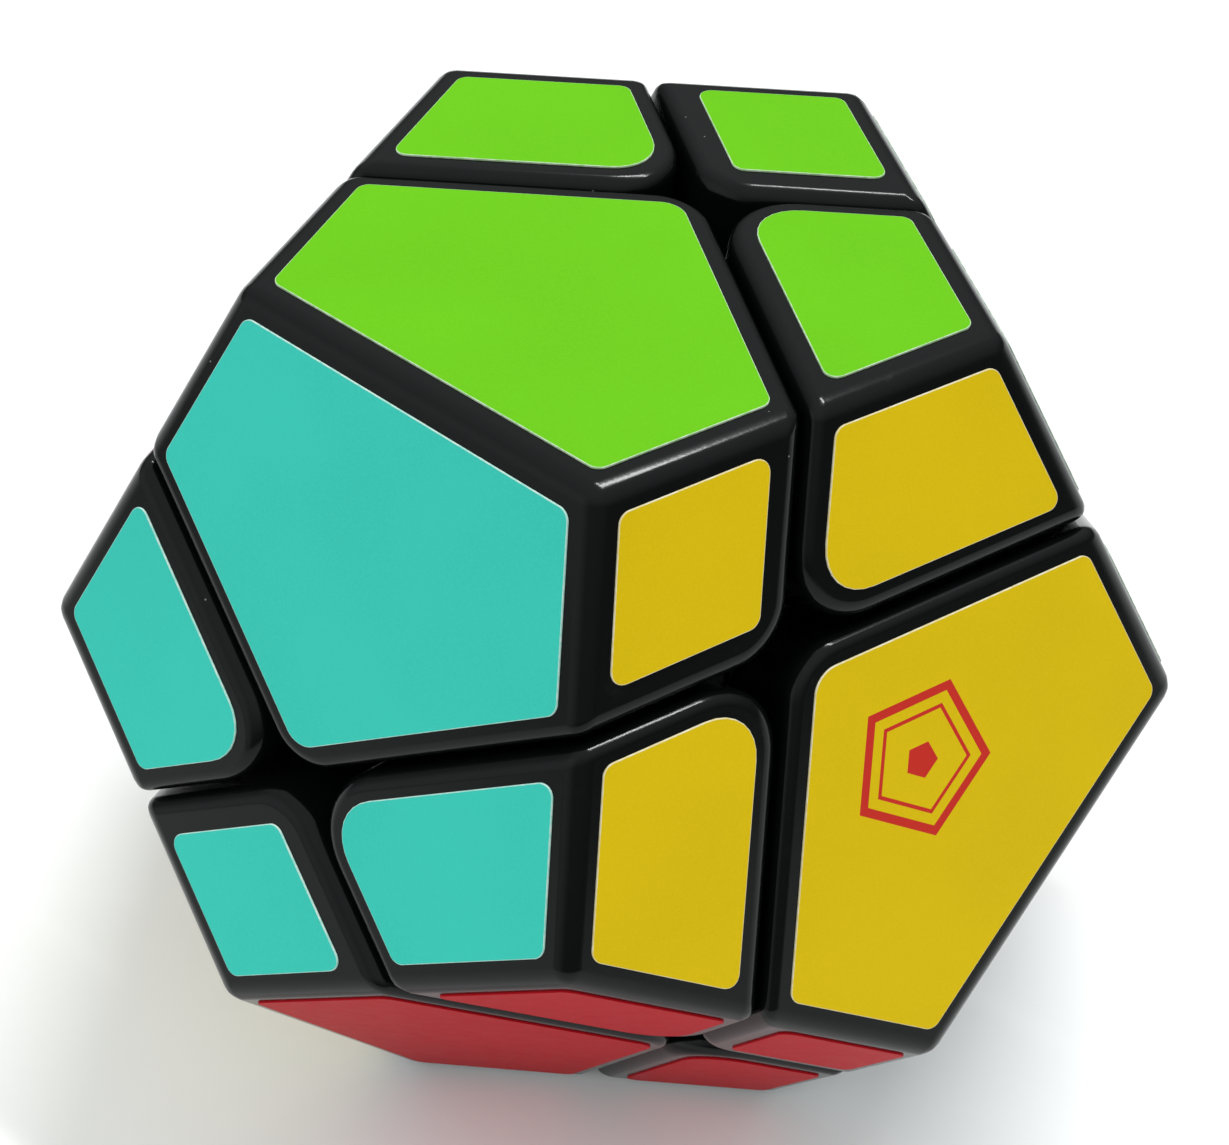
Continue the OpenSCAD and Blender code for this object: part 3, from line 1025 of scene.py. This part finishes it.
class PUZZLE_OT_springs(bpy.types.Operator):
    """Wind the four springs under the screws' heads"""

    bl_idname = "puzzle.springs"
    bl_label = "Springs"

    def execute(self, context):
        sizes = settings().spring
        steel = zinc_steel()
        bpy.ops.object.select_all(action="DESELECT")
        bpy.ops.mesh.primitive_circle_add(
            vertices=sizes.wire_sides,
            radius=sizes.wire,
            fill_type="NGON",
            location=(sizes.coil, 0, sizes.low + sizes.wire),
            rotation=(math.pi / 2, 0, 0),
        )
        master = bpy.context.object
        bpy.ops.object.transform_apply(location=True, rotation=True, scale=True)
        rise = (sizes.height - 2 * sizes.wire) / sizes.turns
        bpy.ops.object.mode_set(mode="EDIT")
        bpy.ops.mesh.select_all(action="SELECT")
        bpy.ops.mesh.delete(type="ONLY_FACE")
        bpy.ops.object.mode_set(mode="OBJECT")
        apply_modifier(
            master,
            "SCREW",
            screw_offset=rise,
            iterations=sizes.turns,
            steps=sizes.turn_steps,
            render_steps=sizes.turn_steps,
            use_merge_vertices=False,
        )
        bpy.ops.object.mode_set(mode="EDIT")
        bpy.ops.mesh.select_all(action="SELECT")
        bpy.ops.mesh.remove_doubles(threshold=1e-6)
        bpy.ops.mesh.select_non_manifold(extend=False)
        bpy.ops.mesh.fill_holes(sides=0)
        bpy.ops.mesh.select_all(action="SELECT")
        bpy.ops.mesh.normals_make_consistent(inside=False)
        bpy.ops.object.mode_set(mode="OBJECT")
        for place, axis in SCREWED.items():
            turn = STAND @ axis.to_track_quat("Z", "Y").to_matrix().to_4x4()
            node = "spring_" + place
            spring = copy_to(master, "wound_" + node, turn)
            smooth(spring)
            coat(spring, steel)
            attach(spring, "lower_half")
            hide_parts(node)
            turn.to_3x3() @ Z
            turn @ (Z * (sizes.low + sizes.height))
            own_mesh(spring)
        bpy.data.objects.remove(master)
        return {"FINISHED"}


class PUZZLE_OT_inner_parts(bpy.types.Operator):
    """Give the core, bases, screws and washers their finishes"""

    bl_idname = "puzzle.inner_parts"
    bl_label = "Inner Parts"

    def execute(self, context):
        plastic = inner_plastic()
        steel = bpy.data.materials["Zinc steel"]
        for name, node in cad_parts.items():
            if name in ("tension_screws", "washers"):
                coat(node, steel)
            elif name == "core" or "base" in name:
                coat(node, plastic)
        return {"FINISHED"}


def soft_light(name, spot, size, power):
    """A rectangular light at that spot, aimed at the middle of the puzzle."""
    data = bpy.data.lights.new(name, "AREA")
    data.shape = "RECTANGLE"
    data.size, data.size_y = size
    data.energy = power
    lamp = bpy.data.objects.new(name, data)
    lamp.location = spot
    lamp.rotation_euler = (MIDDLE - spot).to_track_quat("-Z", "Y").to_euler()
    bpy.context.collection.objects.link(lamp)
    return lamp


def bearing(azimuth, elevation):
    """The direction at that azimuth from the front towards +X, and that elevation."""
    level = math.cos(elevation)
    return Vector((math.sin(azimuth) * level, -math.cos(azimuth) * level, math.sin(elevation)))


class PUZZLE_OT_stage(bpy.types.Operator):
    """Lay the floor, hang the lights and set up the camera"""

    bl_idname = "puzzle.stage"
    bl_label = "Stage"

    def execute(self, context):
        sizes = settings().studio
        bpy.ops.object.select_all(action="DESELECT")
        bpy.ops.mesh.primitive_plane_add(size=sizes.floor_size)
        floor = bpy.context.object
        floor.name = "studio_floor"
        coat(floor, studio_floor())

        soft_light("ceiling_tube", TUBE_SPOT, TUBE_SIZE, sizes.tube_power)
        fill = soft_light("front_fill", FILL_SPOT, FILL_SIZE, sizes.fill_power)
        fill.visible_glossy = False
        context.scene.world = studio_sky()
        context.scene.view_settings.view_transform = "Standard"

        data = bpy.data.cameras.new("camera")
        data.sensor_width = 36
        data.lens = sizes.lens
        data.clip_start, data.clip_end = 0.01, 20
        camera = bpy.data.objects.new("camera", data)
        place = bearing(sizes.camera_azimuth, sizes.camera_elevation)
        camera.location = MIDDLE + place * sizes.camera_distance
        back = bearing(sizes.aim_azimuth, sizes.aim_elevation)
        upright = (-back).to_track_quat("-Z", "Y").to_matrix()
        roll = Matrix.Rotation(sizes.camera_roll, 3, "Z")
        camera.rotation_euler = (upright @ roll).to_euler()
        context.collection.objects.link(camera)
        context.scene.camera = camera
        return {"FINISHED"}


STEPS = (
    PUZZLE_OT_corner_shells,
    PUZZLE_OT_centre_shells,
    PUZZLE_OT_films,
    PUZZLE_OT_springs,
    PUZZLE_OT_inner_parts,
    PUZZLE_OT_stage,
)


class PuzzleSettings(bpy.types.PropertyGroup):
    shell: PointerProperty(type=ShellSizes)
    film: PointerProperty(type=FilmSizes)
    spring: PointerProperty(type=SpringSizes)
    mark: PointerProperty(type=MarkSizes)
    colours: PointerProperty(type=Colours)
    studio: PointerProperty(type=StudioSizes)


class PUZZLE_PT_panel(bpy.types.Panel):
    """Lists the puzzle's settings and steps"""

    bl_label = "Puzzle"
    bl_space_type = "VIEW_3D"
    bl_region_type = "UI"
    bl_category = "Puzzle"

    def draw(self, context):
        layout = self.layout
        for group in PuzzleSettings.__annotations__:
            box = layout.box()
            box.label(text=group.capitalize())
            values = getattr(settings(), group)
            for key in values.__annotations__:
                box.prop(values, key)
        for step in STEPS:
            layout.operator(step.bl_idname)


CLASSES = (
    ShellSizes,
    FilmSizes,
    SpringSizes,
    MarkSizes,
    Colours,
    StudioSizes,
    PuzzleSettings,
    *STEPS,
    PUZZLE_PT_panel,
)


def register():
    for cls in CLASSES:
        bpy.utils.register_class(cls)
    bpy.types.Scene.corner_puzzle = PointerProperty(type=PuzzleSettings)


def unregister():
    del bpy.types.Scene.corner_puzzle
    for cls in reversed(CLASSES):
        bpy.utils.unregister_class(cls)


def main():
    register()
    bpy.ops.puzzle.corner_shells()
    bpy.ops.puzzle.centre_shells()
    bpy.ops.puzzle.films()
    bpy.ops.puzzle.springs()
    bpy.ops.puzzle.inner_parts()
    bpy.ops.puzzle.stage()


if __name__ == "__main__":
    main()
